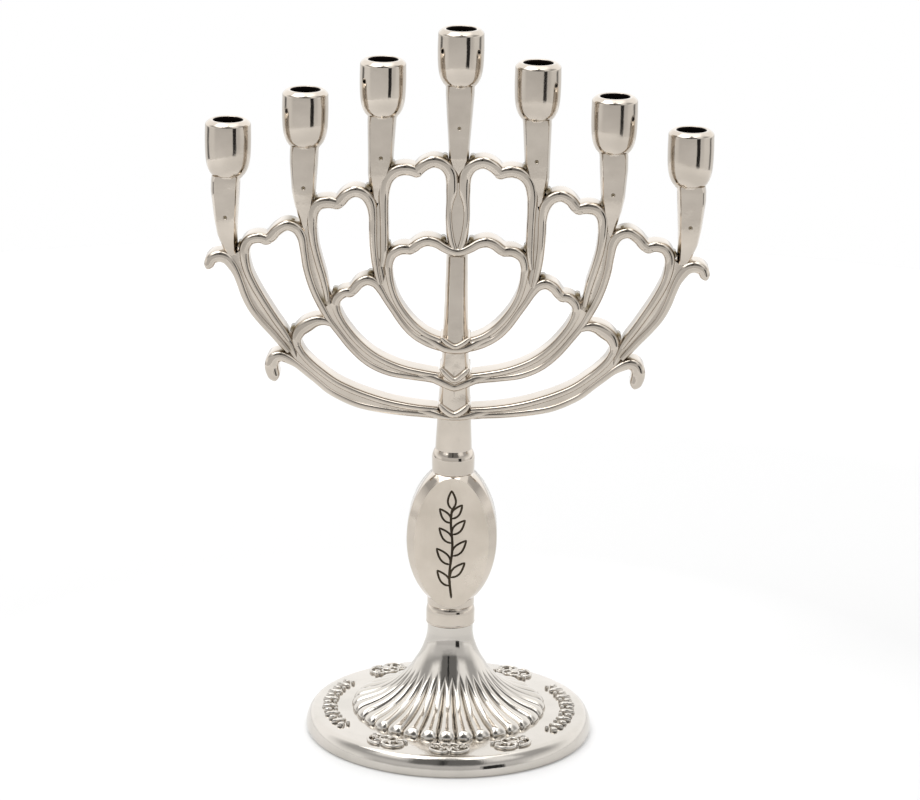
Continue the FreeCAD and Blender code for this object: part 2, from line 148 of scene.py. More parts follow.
def spline(points, step):
    """A smooth run through the points (every column is carried along), evenly spaced by step."""
    points = np.asarray(points, float)
    gap = np.linalg.norm(np.diff(points[:, :2], axis=0), axis=1)
    at = np.concatenate([[0.0], np.cumsum(np.sqrt(gap))])
    before = 2 * points[0] - points[1]
    after = 2 * points[-1] - points[-2]
    knots = np.concatenate([[at[0] - (at[1] - at[0])], at, [at[-1] + at[-1] - at[-2]]])
    hold = np.vstack([before, points, after])
    fine = []
    for i in range(1, len(knots) - 2):
        t0, t1, t2, t3 = knots[i - 1 : i + 3]
        p0, p1, p2, p3 = hold[i - 1 : i + 3]
        for t in np.linspace(t1, t2, SPAN_STEPS, endpoint=False):
            a1 = (t1 - t) / (t1 - t0) * p0 + (t - t0) / (t1 - t0) * p1
            a2 = (t2 - t) / (t2 - t1) * p1 + (t - t1) / (t2 - t1) * p2
            a3 = (t3 - t) / (t3 - t2) * p2 + (t - t2) / (t3 - t2) * p3
            b1 = (t2 - t) / (t2 - t0) * a1 + (t - t0) / (t2 - t0) * a2
            b2 = (t3 - t) / (t3 - t1) * a2 + (t - t1) / (t3 - t1) * a3
            fine.append((t2 - t) / (t2 - t1) * b1 + (t - t1) / (t2 - t1) * b2)
    fine.append(hold[-2])
    fine = np.array(fine)
    run = np.concatenate([[0.0], np.cumsum(np.linalg.norm(np.diff(fine[:, :2], axis=0), axis=1))])
    count = max(4, int(round(run[-1] / step)) + 1)
    even = np.linspace(0, run[-1], count)
    return np.stack([np.interp(even, run, fine[:, c]) for c in range(fine.shape[1])], axis=1)


def united(parts, name):
    """One solid from overlapping closed solids given as (verts, faces)."""
    objs = [new_mesh(f"{name}_{i}", *part) for i, part in enumerate(parts)]
    while len(objs) > 1:
        paired = []
        for i in range(0, len(objs) - 1, 2):
            paired.append(combined(objs[i], objs[i + 1], "UNION"))
        if len(objs) % 2:
            paired.append(objs[-1])
        objs = paired
    objs[0].name = objs[0].data.name = name
    return objs[0]


def combined(obj, tool, operation):
    """obj with tool added, cut away or kept in common; tool is used up."""
    modifier = obj.modifiers.new("cut", "BOOLEAN")
    modifier.solver = "MANIFOLD"
    modifier.operation = operation
    modifier.object = tool
    made = bpy.data.meshes.new_from_object(obj.evaluated_get(bpy.context.evaluated_depsgraph_get()))
    obj.modifiers.clear()
    old = obj.data
    obj.data = made
    bpy.data.meshes.remove(old)
    bpy.data.objects.remove(tool)
    return obj


# ------------------------------------------------------------------ branch frame
BEAD_CREST = 4.5  # how far the beads stand from the middle plane
BEAD_ROLL = 1.75  # how much of that is the rounded face in front of the flat wall
WEB_EVEN = (4.1, 3.75, 4.1)  # how far a dished flat stands at one strand, between and at the other
WEB_FALLING = (4.3, 4.0, 3.6)
END_STEPS = (0.98, 0.9, 0.72, 0.45, 0.2)  # how far out a round end's rings are, in half widths
END_DROP = 0.35  # how far the crest falls towards the tip of a round end
JUNCTION_CREST = 3.9
POCKET_DROP = 0.9  # how far below its corner a pocket's fill is centred
JUNCTIONS = [  # short lower fills where three strands meet
    [(-25.7, 163.0, 1.5), (-24.7, 158.0, 1.9), (-23.6, 152.5, 1.4)],
    [(-43.6, 153.0, 1.4), (-42.0, 149.0, 1.8), (-40.6, 145.6, 1.3)],
    [(-56.6, 137.0, 1.3), (-54.2, 133.4, 2.0), (-52.4, 129.6, 1.4)],
]

# Strands of the left half as (x, z, half width); each is one bead of the casting.
STRANDS = {
    "inner_heart_right": [
        (-0.9, 167.2, 1.1), (-1.75, 169.6, 1.3), (-2.35, 172.8, 1.3), (-2.75, 176.4, 1.2),
        (-2.8, 180, 1.15), (-2.45, 183.2, 1.45), (-2.02, 186.0, 1.95), (-2.0, 189.4, 2.05),
        (-2.5, 192.4, 2.15), (-4.6, 195.1, 2.1),
        (-8.0, 196.2, 2.1), (-11.2, 195.0, 2.1), (-13.7, 192.6, 1.95),
    ],
    "inner_heart_left": [
        (-13.7, 192.6, 1.95), (-15.3, 193.2, 2.05), (-17.8, 193.4, 2.1), (-20.7, 192.5, 2.1),
        (-23.0, 190.0, 2.0), (-24.1, 186, 1.9), (-24.1, 180, 1.6), (-23.9, 174, 1.55),
        (-23.8, 168, 1.5), (-23.9, 164.5, 1.3), (-24.4, 161, 0.9),
    ],
    "middle_heart_right": [
        (-39.2, 181.4, 1.9), (-38.2, 182.3, 2.0), (-36.4, 184.4, 2.0), (-33.4, 185.7, 2.0),
        (-30.3, 184.7, 2.0), (-28.3, 182.0, 1.9), (-27.5, 178, 1.6), (-27.35, 172, 1.5),
        (-27.1, 167, 1.45), (-26.6, 162.5, 1.4), (-25.9, 158.5, 1.2), (-25.0, 155, 0.8),
    ],
    "middle_heart_left": [
        (-39.2, 181.4, 1.9), (-40.6, 181.7, 2.0), (-42.2, 181.9, 2.1), (-45.2, 181.2, 2.1),
        (-47.0, 178.8, 2.0), (-47.35, 174, 1.7), (-46.7, 168, 1.5), (-45.2, 162, 1.45),
        (-43.6, 156.6, 1.4), (-42.6, 152.5, 1.2), (-42.0, 149, 0.9),
    ],
    "outer_heart_right": [
        (-62.2, 168.9, 1.85), (-60.8, 169.8, 1.9), (-58.9, 172.0, 1.9), (-55.6, 173.9, 1.9),
        (-52.4, 172.9, 1.9), (-50.6, 170.2, 1.8), (-49.8, 165.8, 1.55), (-49.0, 160.5, 1.5),
        (-47.7, 155.6, 1.45), (-45.9, 150.9, 1.45), (-43.6, 146.4, 1.4), (-41.2, 142.2, 1.3),
        (-38.1, 138.1, 1.25), (-34.6, 133.7, 1.25), (-30.8, 129.9, 1.25), (-27.0, 127.2, 1.25),
        (-21.3, 124.9, 1.25), (-14.5, 123.8, 1.2), (-7.5, 122.9, 1.2), (-3.0, 121.6, 1.0),
    ],
    "outer_heart_left": [
        (-62.2, 168.9, 1.85), (-63.4, 169.3, 1.85), (-64.8, 169.5, 1.85), (-67.6, 168.7, 1.85),
        (-69.2, 166.2, 1.8), (-69.3, 162.6, 1.7), (-68.3, 158.2, 1.55), (-66.0, 153.2, 1.5),
        (-62.8, 147.8, 1.45), (-59.3, 142.4, 1.4), (-56.2, 138.0, 1.3), (-54.4, 135.2, 0.9),
    ],
    "lower_heart_left": [
        (-15.4, 166.7, 1.85), (-16.8, 166.8, 1.9), (-18.6, 166.6, 1.9), (-21.2, 164.9, 1.8),
        (-22.3, 161.8, 1.6), (-22.1, 158, 1.4), (-21.4, 154.4, 1.3), (-20.0, 150.3, 1.3),
        (-17.4, 145.8, 1.3), (-13.2, 140.9, 1.3), (-9.0, 137.9, 1.25), (-4.8, 136.2, 1.2),
    ],
    "middle_crescent_right": [
        (-34.7, 151.8, 1.8), (-33.5, 152.8, 1.8), (-31.8, 154.9, 1.9), (-29.2, 156.1, 1.9),
        (-26.6, 155.3, 1.8), (-24.6, 152.8, 1.5), (-22.9, 149.9, 1.3), (-20.6, 146.5, 1.3),
        (-16.9, 141.2, 1.3), (-13.5, 137.8, 1.3), (-9.7, 135.5, 1.3), (-6.9, 134.4, 1.3),
        (-3.0, 133.2, 1.1),
    ],
    "middle_crescent_left": [
        (-34.7, 151.8, 1.8), (-36.0, 151.8, 1.8), (-37.5, 151.2, 1.8), (-39.3, 149.0, 1.7),
        (-39.3, 146.3, 1.5), (-37.7, 142.6, 1.3), (-35.0, 138.6, 1.3), (-31.2, 134.3, 1.3),
        (-26.6, 130.6, 1.3), (-20.9, 127.7, 1.3), (-15.7, 126.0, 1.25), (-10.0, 124.9, 1.2),
        (-5.6, 124.2, 1.2),
    ],
    "lower_crescent_top": [
        (-51.9, 133.4, 1.45), (-52.2, 135.6, 1.8), (-51.0, 138.4, 2.2), (-48.7, 140.3, 2.4),
        (-45.8, 141.8, 2.0), (-43.2, 142.0, 1.6), (-40.8, 141.2, 1.2),
    ],
    "lower_crescent_foot": [
        (-51.9, 133.4, 1.45), (-50.3, 130.7, 1.35), (-47.4, 127.5, 1.35), (-43.7, 124.4, 1.35),
        (-39.2, 121.2, 1.35), (-34.1, 118.7, 1.35), (-29.0, 116.8, 1.3), (-22.7, 114.9, 1.3),
        (-16.2, 113.6, 1.25), (-10.5, 112.9, 1.2), (-5.6, 112.5, 1.2),
    ],
    "upper_curl": [
        (-80.8, 160.4, 1.75), (-80.2, 161.8, 1.95), (-78.9, 162.7, 2.05), (-77.0, 163.0, 2.05),
        (-74.9, 162.2, 2.0), (-73.2, 160.2, 1.85), (-71.7, 157.6, 1.6), (-70.4, 154.2, 1.5),
        (-68.9, 150.0, 1.5), (-66.6, 145.5, 1.45), (-63.6, 141.6, 1.4), (-60.0, 137.7, 1.4),
        (-57.0, 134.2, 1.3), (-54.6, 131.4, 1.0),
    ],
    "lower_curl": [
        (-59.6, 123.3, 2.1), (-60.1, 124.9, 2.25), (-60.2, 127.0, 2.3), (-59.1, 129.0, 2.25),
        (-57.0, 129.6, 1.9), (-54.4, 128.6, 1.7), (-51.9, 127.1, 1.4), (-48.9, 124.7, 1.35),
        (-45.1, 121.6, 1.3), (-41.5, 118.6, 1.3), (-36.7, 115.9, 1.3), (-31.8, 113.9, 1.3),
        (-25.8, 112.6, 1.3), (-17.2, 111.5, 1.25), (-9.0, 110.9, 1.2), (-4.5, 110.4, 1.1),
    ],
}  # fmt: skip

# Strands that cross the centre line as (x, z, half width, crest): left half, mirrored on.
BRIDGES = {
    "lower_heart_top": [
        (-15.4, 166.7, 1.85, 4.5), (-14.2, 167.4, 1.9, 4.5), (-12.4, 168.8, 1.9, 4.5),
        (-9.8, 169.7, 1.9, 4.5), (-6.8, 169.1, 1.8, 4.5), (-4.2, 167.6, 1.7, 4.6),
        (-2.0, 166.6, 1.6, 4.8), (0.0, 166.2, 1.6, 4.9),
    ],
    "upper_yoke": [
        (-10.5, 137.3, 1.5, 4.4), (-7.0, 135.6, 1.6, 4.7), (-3.5, 133.9, 1.6, 5.5),
        (-1.4, 133.4, 1.5, 5.6), (0.0, 133.3, 1.5, 5.6),
    ],
    "upper_chevron": [
        (-4.2, 137.2, 0.8, 5.7), (-3.3, 136.4, 1.0, 6.0), (-1.9, 135.5, 1.0, 6.2),
        (-0.8, 134.9, 1.0, 6.3), (0.0, 134.7, 1.0, 6.3),
    ],
    "middle_yoke": [
        (-10.5, 124.0, 1.6, 4.4), (-7.0, 123.3, 1.6, 4.9), (-4.8, 122.6, 1.6, 5.6),
        (-2.2, 121.4, 1.6, 5.9), (-0.8, 120.8, 1.5, 5.9), (0.0, 120.6, 1.5, 5.9),
    ],
    "middle_chevron": [
        (-4.2, 126.9, 0.85, 6.2), (-3.5, 126.1, 1.1, 6.5), (-2.2, 124.9, 1.1, 6.7),
        (-1.0, 123.9, 1.1, 6.8), (-0.4, 123.5, 1.1, 6.8), (0.0, 123.35, 1.1, 6.8),
    ],
    "lower_yoke": [
        (-10.5, 111.9, 1.5, 4.4), (-7.5, 111.5, 1.5, 4.9), (-4.5, 110.9, 1.3, 5.7),
        (-2.0, 110.5, 1.0, 6.1), (0.0, 110.4, 0.9, 6.1),
    ],
    "lower_chevron": [
        (-4.4, 114.6, 0.9, 6.3), (-3.6, 113.7, 1.2, 6.6), (-2.2, 112.6, 1.25, 6.9),
        (-1.0, 111.9, 1.25, 7.0), (0.0, 111.6, 1.25, 7.0),
    ],
}  # fmt: skip


# Where polish does not reach: the corners between strands, as (x, z) on both sides.
CORNERS = [
    (4.5, 198.0), (21.8, 195.6), (29.2, 187.6), (47.2, 184.2), (53.8, 175.6), (70.6, 167.5),
    (4.6, 170.6), (22.6, 168.6), (28.2, 158.6), (39.6, 152.6), (43.6, 148.8), (53.2, 139.4),
    (56.0, 132.2),
]  # fmt: skip


def bead_section(half, crest):
    """(offset, y) points once round a bead: a rolled front, flat walls and a rolled back."""
    roll = min(BEAD_ROLL, 1.3 * half)
    wall = crest - roll
    front = [
        (half * math.sin(a), -wall - roll * math.cos(a) ** 0.9)
        for a in np.radians(np.linspace(-90, 90, 13))
    ]
    back = [(u, -y) for u, y in front[::-1]]
    right, left = [(half, -wall / 3), (half, wall / 3)], [(-half, wall / 3), (-half, -wall / 3)]
    return front + right + back + left


def bead(points, crest=BEAD_CREST, both=False):
    """A closed bead along (x, z, half width[, crest]), round at its first end, or at both ends."""
    route = spline(points, step=0.65)
    along = np.gradient(route[:, :2], axis=0)
    along /= np.linalg.norm(along, axis=1)[:, None]
    across = np.stack([-along[:, 1], along[:, 0]], axis=1)

    def end_ring(i, out):
        """A ring of a round end, out half widths past the route's point i."""
        half = route[i, 2]
        return route[i, :2] + along[i] * half * out, across[i], half * math.sqrt(1 - out * out), route[i]

    rings = [end_ring(0, -t) for t in END_STEPS]
    rings += [(row[:2], side, row[2], row) for row, side in zip(route, across)]
    if both:
        rings += [end_ring(-1, t) for t in END_STEPS[::-1]]
    solid = []
    for centre, side, half, row in rings:
        top = row[3] if len(row) > 3 else crest
        top = top - END_DROP * (1 - half / row[2]) if half < row[2] else top
        section = bead_section(half, top)
        solid.append([(centre[0] + side[0] * u, y, centre[1] + side[1] * u) for u, y in section])
    return skin(solid)


def mirrored(part):
    """The same part on the other side of the centre line."""
    verts, faces = part
    flipped = verts * np.array([-1, 1, 1])
    return flipped, [tuple(reversed(f)) for f in faces]


def web(first, second, depths):
    """The flat between two strands, as a closed ribbon; depths are at first, between and at second."""
    near, middle, far = depths
    count = 48
    runs = []
    for run in (first, second):
        fine = spline(np.asarray(run, float)[:, :2], step=0.4)
        at = np.linspace(0, len(fine) - 1, count)
        runs.append(
            np.stack([np.interp(at, np.arange(len(fine)), fine[:, c]) for c in (0, 1)], axis=1)
        )
    rings = []
    for start, end in zip(*runs):
        front = []
        for t in np.linspace(0, 1, 9):
            x, z = start + (end - start) * t
            edge = near if t < 0.5 else far
            front.append((x, -(middle + (edge - middle) * (2 * t - 1) ** 2), z))
        rings.append(front + [(x, -y, z) for x, y, z in front[::-1]])
    return skin(rings)


def pocket(x, z, radius=1.05, deep=2.7):
    """A short round fill through the casting, for the corner of an opening."""
    angles = np.linspace(0, TAU, 16, endpoint=False)
    edge, tip = 0.3, radius * 0.8
    return skin([
        [(x + r * math.cos(a), y, z + r * math.sin(a)) for a in angles]
        for y, r in ((deep, tip), (deep - edge, radius), (edge - deep, radius), (-deep, tip))
    ])  # fmt: skip


def faceted_section(x, z, half, deep, facet):
    """A flattened round: a flat facet in front and behind, joined by elliptic sides."""
    first = math.radians(24)  # where the facet turns into the side
    side = []
    for a in np.linspace(first, math.pi / 2, 9):
        past_facet = (half - facet) * (math.sin(a) - math.sin(first)) / (1 - math.sin(first))
        side.append((facet + past_facet, deep * math.cos(a) / math.cos(first)))
    quarter = [(0.0, deep), (facet * 0.6, deep), (facet * 0.95, deep)] + side
    right = quarter + [(u, -v) for u, v in quarter[-2::-1]]
    left = [(-u, v) for u, v in right[-2:0:-1]]
    return [(x + u, -v, z) for u, v in right + left]


# Stalks as (x off the cup's axis, z below the cup's foot, half width, half depth, facet).
STALKS = {
    0: [
        (0, -0.8, 4.7, 4.7, 3.4), (0, 2, 4.7, 4.7, 3.6), (0, 9, 4.25, 4.5, 3.5),
        (0, 18.5, 3.55, 4.3, 2.9), (0, 23.5, 3.3, 4.2, 2.5), (0, 27.5, 2.4, 3.5, 1.2),
        (0, 30, 1.2, 2.2, 0.5),
    ],
    1: [
        (0, -0.8, 4.75, 4.7, 3.4), (0.15, 1, 4.7, 4.7, 3.6), (0.25, 6, 4.5, 4.6, 3.5),
        (0.4, 14, 4.15, 4.4, 3.2), (0.9, 19, 3.6, 4.2, 2.4), (1.3, 23, 2.7, 3.9, 1.3),
        (1.4, 28, 1.2, 3.2, 0.5),
    ],
    2: [
        (0, -0.8, 4.75, 4.7, 3.4), (0.2, 1, 4.7, 4.7, 3.6), (0.3, 5, 4.65, 4.6, 3.5),
        (0.25, 14.5, 3.95, 4.4, 3.0), (0.1, 19, 3.2, 4.2, 2.2), (-0.1, 23.5, 2.0, 3.8, 1.0),
        (-0.6, 28, 1.0, 3.2, 0.4),
    ],
    3: [
        (0.4, -0.8, 4.8, 4.7, 3.4), (0.7, 1, 4.8, 4.7, 3.6), (0.8, 4.5, 4.75, 4.6, 3.5),
        (0.5, 14, 3.9, 4.4, 2.9), (0.1, 19, 3.35, 4.2, 2.3), (-1.0, 24.0, 2.4, 3.9, 1.3),
        (-3.2, 29, 1.4, 3.3, 0.5),
    ],
}  # fmt: skip

SHAFT = [  # (z, half width, half depth, facet), from under the inner hearts to the shank
    (168.5, 3.55, 3.9, 2.7), (164.9, 3.6, 3.95, 2.6), (164.7, 3.6, 4.3, 2.0),
    (150.0, 3.85, 4.5, 2.1), (139.0, 4.2, 4.8, 2.3), (132.0, 4.4, 5.0, 3.1), (127.0, 4.5, 5.1, 3.4),
    (122.0, 4.9, 5.2, 3.6), (117.0, 5.2, 5.3, 3.75), (112.5, 5.4, 5.5, 3.6),
    (109.5, 5.6, 5.6, 1.8), (107.0, 5.65, 5.65, 0.1),
]  # fmt: skip

# The round shank under the shaft as (radius, z), down to the upper collar.
SHANK = [(0, 110.5), (5.62, 110.5), (5.66, 107), (5.85, 103), (6.05, UPPER_TOP), (0, UPPER_TOP)]

# Where the balls that cut the stalks' front dimples are: the middle one, then the right-hand ones,
# which are repeated on the left.
DIMPLES = [(0.0, -4.85, 207.5), (25.2, -4.8, 197.1), (50.2, -4.8, 186.6), (75.6, -4.8, 176.2)]
DIMPLE_RADIUS = 0.8


def dimple_ball():
    """The ball that a dimple is cut with, round the origin."""
    outline = []
    for a in np.radians(np.linspace(-90, 90, 9)):
        outline.append((max(0.0, DIMPLE_RADIUS * math.cos(a)), DIMPLE_RADIUS * math.sin(a)))
    return revolve(outline, 16)


def branch_frame():
    """The casting: beads, recessed flats, stalks, central shaft and shank, united to one solid."""
    parts = []
    for points in STRANDS.values():
        part = bead(points)
        parts += [part, mirrored(part)]
    for points in BRIDGES.values():
        other = [(-x, *rest) for x, *rest in points[-2::-1]]
        parts.append(bead(points + other, both=True))
    for first, second, depths in (
        (STRANDS["inner_heart_left"][5:10], STRANDS["middle_heart_right"][6:11], WEB_EVEN),
        (STRANDS["middle_heart_left"][4:11], STRANDS["outer_heart_right"][5:11], WEB_EVEN),
        (STRANDS["outer_heart_left"][4:12], STRANDS["upper_curl"][4:13], WEB_EVEN),
        (STRANDS["lower_heart_left"][4:12], STRANDS["middle_crescent_right"][5:12], WEB_FALLING),
        (STRANDS["middle_crescent_left"][3:13], STRANDS["outer_heart_right"][10:19], WEB_FALLING),
        (STRANDS["lower_crescent_foot"], STRANDS["lower_curl"][6:16], WEB_FALLING),
    ):
        part = web(first, second, depths)
        parts += [part, mirrored(part)]
    for fill in JUNCTIONS:
        part = bead(fill, crest=JUNCTION_CREST, both=True)
        parts += [part, mirrored(part)]
    for x, z in CORNERS:
        part = pocket(x, z - POCKET_DROP)
        parts += [part, mirrored(part)]
    right = STRANDS["inner_heart_right"][0:8]
    parts.append(web(right, [(-x, z, a) for x, z, a in right], WEB_EVEN))

    foot_of = {abs(place): cad(name)[0][2] for name, place in CUPS.items()}
    for place in range(-3, 4):
        side = 1 if place > 0 else -1
        axis = np.mean([c[0] for c in cad(CUP_AT[place])])
        rows = [
            (axis + side * off, foot_of[abs(place)] - down, half, deep, facet)
            for off, down, half, deep, facet in STALKS[abs(place)]
        ]
        rows = np.array(rows)
        fine = np.linspace(0, len(rows) - 1, 6 * len(rows))
        smooth_rows = [np.interp(fine, np.arange(len(rows)), rows[:, c]) for c in range(5)]
        parts.append(skin([faceted_section(*row) for row in zip(*smooth_rows)][::-1]))
    parts.append(skin([faceted_section(0.0, *row) for row in SHAFT][::-1]))
    parts.append(revolve(SHANK))
    casting = united(parts, "branch_casting")
    verts, faces = dimple_ball()
    for x, y, z in DIMPLES:
        for side in (-1, 1) if x else (1,):
            ball = new_mesh("ball", verts + np.array((side * x, y, z)), faces)
            casting = combined(casting, ball, "DIFFERENCE")
    return smooth(casting)


# ------------------------------------------------------------------ candle cups
BORE_EDGE = 4.9  # faces nearer the cup's axis than this, and above the bore's floor, line the bore and take its painted shade
BORE_FLOOR = 3  # a height over the cup's foot that is under the whole bore


def candle_cup(name):
    """A turned cup: flared bowl, straight wall, rolled rim and a blind bore."""
    low, high = cad(name)
    x, foot, top = (low[0] + high[0]) / 2, low[2], high[2]
    wall = (high[0] - low[0]) / 2
    profile = [(0.0, foot)]
    profile += [(4.55, foot), (4.85, foot + 0.15), (4.95, foot + 0.45)]
    bowl = [(5.35, 0.8), (5.95, 1.6), (6.45, 2.6), (6.85, 3.8), (7.15, 5.2), (7.35, 6.8), (7.46, 8.6)]
    profile += [(r, foot + z) for r, z in bowl]
    profile += [(7.52, foot + 10.5), (wall, foot + 12.5)]
    profile += [(wall - 0.02, foot + 14.5), (wall - 0.07, foot + 16.4)]
    profile += arc((wall - 1.42, top - 1.85), 1.35, 8, 48, 6)
    profile += arc((wall - 1.9, top - 1.15), 1.15, 50, 90, 5)
    profile += arc((5.3, top - 0.5), 0.5, 90, 180, 5)
    profile += [(4.8, top - 1.2), (4.8, top - 6), (4.8, top - 12.5), (4.3, top - 13.6), (0.0, top - 14.0)]
    obj = new_mesh(name.replace("candle_cup", "cup"), *revolve(profile, 112, x))
    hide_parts(name)
    return smooth(obj)


# ------------------------------------------------------------------ stem
def turned(name, node, profile, segments=112):
    """A turned piece standing for one CAD node; each corner is (radius, z, rounding)."""
    outline = []
    count = len(profile)
    for i, (radius, z, rounding) in enumerate(profile):
        here = np.array((radius, z), float)
        if rounding <= 0:
            outline.append(tuple(here))
            continue
        before = np.array(profile[i - 1][:2], float) - here
        after = np.array(profile[(i + 1) % count][:2], float) - here
        start = here + before / np.linalg.norm(before) * rounding
        end = here + after / np.linalg.norm(after) * rounding
        for t in np.linspace(0, 1, 6):
            outline.append(tuple((1 - t) ** 2 * start + 2 * t * (1 - t) * here + t * t * end))
    obj = new_mesh(name, *revolve(outline, segments))
    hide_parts(node)
    return smooth(obj, 30)


def upper_collar():
    low = UPPER_FOOT
    return turned("stem_collar_upper", "upper_collar", [
        (ROD_BORE, low, 0), (7.0, low, 0.25), (7.1, low + 5.0, 0.3), (6.95, low + 6.6, 1.3),
        (6.15, low + 7.8, 0.5), (6.05, low + 8.0, 0), (ROD_BORE, UPPER_TOP - 1.6, 0),
    ])  # fmt: skip


def lower_collar():
    low = LOWER_FOOT
    return turned("stem_collar_lower", "lower_collar", [
        (ROD_BORE, low, 0), (8.1, low, 0.2), (8.2, low + 0.5, 0.15), (8.12, low + 0.7, 0.1),
        (8.15, low + 4.3, 0.3), (8.0, low + 5.5, 0.7), (7.5, low + 6.5, 0.2), (ROD_BORE, low + 6.5, 0),
    ])  # fmt: skip


FACE = (12.4, 22.5, 67.45)  # half width, half height and middle of the flat face
GIRTH = (15.0, 24.0, 68.5)  # the same of the widest section
FACE_Y, BEVEL_Y = 7.0, 4.6
KNOP_FOOT = 44.3


def medallion():
    """Oval knop with bevelled faces and an engraved laurel sprig on the front one."""
    around = 160
    rings = []
    ellipses = [
        (FACE, -FACE_Y, 1.0), (GIRTH, -BEVEL_Y - 0.25, 0.990), (GIRTH, -BEVEL_Y + 0.2, 1.0),
        (GIRTH, BEVEL_Y - 0.2, 1.0), (GIRTH, BEVEL_Y + 0.25, 0.990), (FACE, FACE_Y, 1.0),
    ]  # fmt: skip
    for (half, tall, middle), y, scale in ellipses:
        rings.append([
            (half * scale * math.cos(a), y, middle + tall * scale * math.sin(a))
            for a in np.linspace(0, TAU, around, endpoint=False)
        ])  # fmt: skip
    oval = new_mesh("oval", *skin(rings[::-1]))
    cut_band = [(0, KNOP_FOOT), (17, KNOP_FOOT), (17, UPPER_FOOT), (0, UPPER_FOOT)]
    oval = combined(oval, new_mesh("band", *revolve(cut_band, 64)), "INTERSECT")
    round_neck = [(0, KNOP_FOOT), (7.6, KNOP_FOOT), (7.85, 44.6), (7.9, 50), (0, 50)]
    neck = new_mesh("neck", *revolve(round_neck, 112))
    slab = new_mesh("slab", *box_part((-9, -6.9, 40), (9, 6.9, 55)))
    neck = combined(neck, slab, "INTERSECT")
    obj = combined(oval, neck, "UNION")
    for groove in sprig():
        obj = combined(obj, new_mesh("groove", *groove), "DIFFERENCE")
    obj.name = obj.data.name = "stem_medallion"
    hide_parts("medallion")
    return smooth(obj, 25)


def box_part(low, high):
    """A plain box between two corners."""
    (x0, y0, z0), (x1, y1, z1) = low, high
    return skin([[(x, y0, z0), (x, y1, z0), (x, y1, z1), (x, y0, z1)] for x in (x0, x1)])


STEM_GROOVE, LEAF_GROOVE = 0.42, 0.36  # half widths of the engraved lines


def engraved(points, half):
    """A round cutter along (x, z) points on the front face."""
    route = spline(np.asarray(points, float), step=0.5)
    along = np.gradient(route, axis=0)
    along /= np.linalg.norm(along, axis=1)[:, None]
    rings = []
    count = len(route)
    for i, ((x, z), (dx, dz)) in enumerate(zip(route, along)):
        end = min(i, count - 1 - i)
        width = half * (0.45, 0.8, 1.0)[min(end, 2)]
        rings.append([
            (x - dz * width * math.cos(a), -FACE_Y + width * math.sin(a), z + dx * width * math.cos(a))
            for a in np.linspace(0, TAU, 10, endpoint=False)
        ])  # fmt: skip
    return skin(rings[::-1])


def leaf_sides(foot, direction, length, width):
    """The two edges of a leaf as runs of (x, z)."""
    foot = np.array(foot, float)
    along = np.array((math.cos(math.radians(direction)), math.sin(math.radians(direction))))
    across = np.array((-along[1], along[0]))
    sides = []
    for sign in (1, -1):
        sides.append([
            foot + along * length * t
            + across * sign * width * math.sin(math.pi * t**0.85) * (1 - 0.25 * t)
            for t in (0, 0.2, 0.42, 0.64, 0.84, 1.0)
        ])  # fmt: skip
    return sides


def sprig():
    """Cutters of a laurel sprig: a stem and pairs of leaves."""
    stem = [(0.3, 48.2), (-0.5, 56), (0.35, 66), (-0.3, 75), (0.0, 79.5)]
    cutters = [engraved(stem, STEM_GROOVE)]
    leaves = [
        ((-0.3, 52.5), 128, 7.0, 1.55), ((-0.2, 55.5), 48, 7.2, 1.55),
        ((-0.2, 60.0), 130, 7.4, 1.6), ((0.25, 63.0), 50, 7.4, 1.6),
        ((0.3, 67.5), 130, 7.0, 1.55), ((0.1, 70.5), 50, 6.8, 1.5),
        ((-0.2, 74.5), 128, 6.4, 1.4), ((-0.2, 76.0), 54, 6.2, 1.4), ((0.0, 79.3), 92, 6.6, 1.5),
    ]  # fmt: skip
    for foot, direction, length, width in leaves:
        for side in leaf_sides(foot, direction, length, width):
            cutters.append(engraved(side, LEAF_GROOVE))
    return cutters


# ------------------------------------------------------------------ foot
RIBS = 32
NECK_RADIUS, NECK_TOP = 7.65, 37.8
FLANGE_TOP = 7.38  # height of the flange beside the dome
VALLEY_REACH = 30.3  # how far out the valleys between the ribs run

# The crest of a rib as (radius, z), from the neck to its toe.
CREST = [
    (7.65, 35.0), (7.75, 34.0), (8.1, 32.0), (8.73, 30.0), (9.47, 28.0), (10.45, 26.0), (11.75, 23.9),
    (13.5, 21.2), (16.0, 18.2), (18.6, 15.8), (21.4, 13.9), (24.4, 12.4), (27.4, 11.3), (29.6, 10.6),
    (31.0, 9.95), (32.0, 9.0), (32.55, 8.1), (32.65, FLANGE_TOP),
]  # fmt: skip

# The plain part of the foot as (radius, z): over the rim, under the flange and up the inside.
PLAIN = [
    (33.6, 7.36), (36.0, 7.32), (39.0, 7.25), (44.6, 7.05), (45.3, 6.95), (45.8, 6.75), (46.3, 6.35),
    (46.8, 5.7), (47.25, 4.85), (47.6, 3.9), (47.85, 2.9), (47.95, 2.0), (47.9, 1.2), (47.7, 0.6),
    (47.4, 0.2), (47.0, 0.03), (46.6, 0.0), (46.0, 0.0), (45.8, 0.15), (45.7, 1.2), (44.9, 4.5),
    (44.0, 4.9), (28.8, 5.0), (28.6, 9.0), (24.0, 9.6), (19.0, 11.6), (15.0, 14.6), (12.0, 18.4),
    (9.0, 23.2), (6.0, 24.4), (6.0, 14.0), (ROD_BORE, 14.0),
]  # fmt: skip


